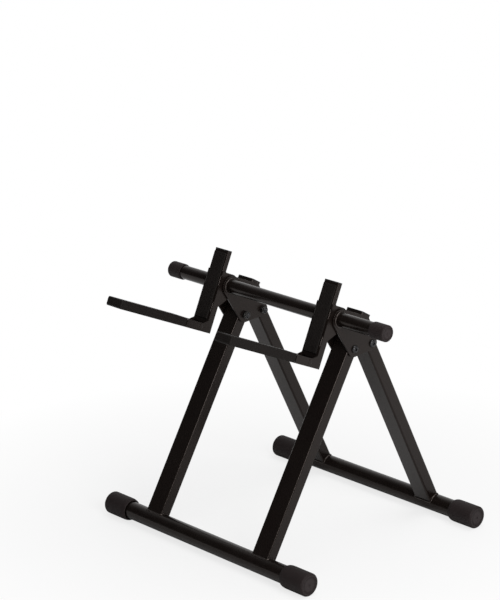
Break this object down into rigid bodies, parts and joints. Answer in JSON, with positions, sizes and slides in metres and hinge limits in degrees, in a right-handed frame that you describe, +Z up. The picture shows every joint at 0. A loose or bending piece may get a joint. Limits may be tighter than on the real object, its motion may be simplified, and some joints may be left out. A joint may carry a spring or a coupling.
{
  "type": "folding amplifier stand",
  "caption": "Folding A-frame floor stand that holds a cabinet tilted back on rubber-booted support arms and a padded backrest, on round foot bars with rubber caps.",
  "frame": {"origin": "on the floor, midway between the two foot bars and midway between the left and right legs", "axes": "+Z up, +Y to the back, +X to the right seen from the front, along the foot bars"},
  "size_m": [0.532, 0.5324, 0.4895],
  "materials": {
    "bar_paint": "satin black powder coat on round steel tube",
    "tube_paint": "satin black powder coat on rectangular steel tube",
    "plate_paint": "satin black powder coat on sheet steel",
    "foot_rubber": "matte black moulded rubber",
    "strip_rubber": "matte black rubber strip",
    "boot_rubber": "matte black rubber with a fine grain",
    "plug_plastic": "matte black moulded plastic",
    "black_bolt": "black oxide steel",
    "black_nut": "black zinc plated steel",
    "washer_nylon": "natural nylon",
    "bush_steel": "turned steel"
  },
  "bodies": {
    "front_frame": {"front_foot_bar": "bar_paint", "front_cap_left": "foot_rubber", "front_cap_right": "foot_rubber", "front_leg_left": "tube_paint", "front_leg_right": "tube_paint", "front_leg_plugs": "plug_plastic", "plate_left_outer": "plate_paint", "plate_left_inner": "plate_paint", "plate_right_inner": "plate_paint", "plate_right_outer": "plate_paint", "leg_bolts": "black_bolt", "leg_nuts": "black_nut", "leg_washers": "washer_nylon", "pivot_bolts": "black_bolt", "pivot_nuts": "black_nut", "backrest_bar": "bar_paint", "backrest_cap_left": "foot_rubber", "backrest_cap_right": "foot_rubber", "corner_bracket_left": "plate_paint", "corner_bracket_right": "plate_paint", "upright_left": "tube_paint", "upright_right": "tube_paint", "upright_plugs": "plug_plastic", "backrest_strip_left": "strip_rubber", "backrest_strip_right": "strip_rubber", "arm_pins": "plate_paint"},
    "rear_frame": {"rear_foot_bar": "bar_paint", "rear_cap_left": "foot_rubber", "rear_cap_right": "foot_rubber", "rear_leg_left": "tube_paint", "rear_leg_right": "tube_paint", "rear_leg_plugs": "plug_plastic", "pivot_bushes": "bush_steel", "pivot_washers": "washer_nylon"},
    "arm_left": {"arm_core_left": "tube_paint", "arm_boot_left": "boot_rubber", "arm_bush_left": "bush_steel", "arm_plug_left": "plug_plastic"},
    "arm_right": {"arm_core_right": "tube_paint", "arm_boot_right": "boot_rubber", "arm_bush_right": "bush_steel", "arm_plug_right": "plug_plastic"}
  },
  "joints": [
    {"name": "rear_fold", "type": "hinge", "parent": "front_frame", "child": "rear_frame", "pos_m": [0, 0.03123, 0.36597], "axis": [-1, 0, 0], "range_deg": [0, 57]},
    {"name": "arm_left_fold", "type": "hinge", "parent": "front_frame", "child": "arm_left", "pos_m": [-0.1355, -0.11603, 0.36503], "axis": [-1, 0, 0], "range_deg": [0, 90]},
    {"name": "arm_right_fold", "type": "hinge", "parent": "front_frame", "child": "arm_right", "pos_m": [0.1355, -0.11603, 0.36503], "axis": [-1, 0, 0], "range_deg": [0, 90]}
  ]
}
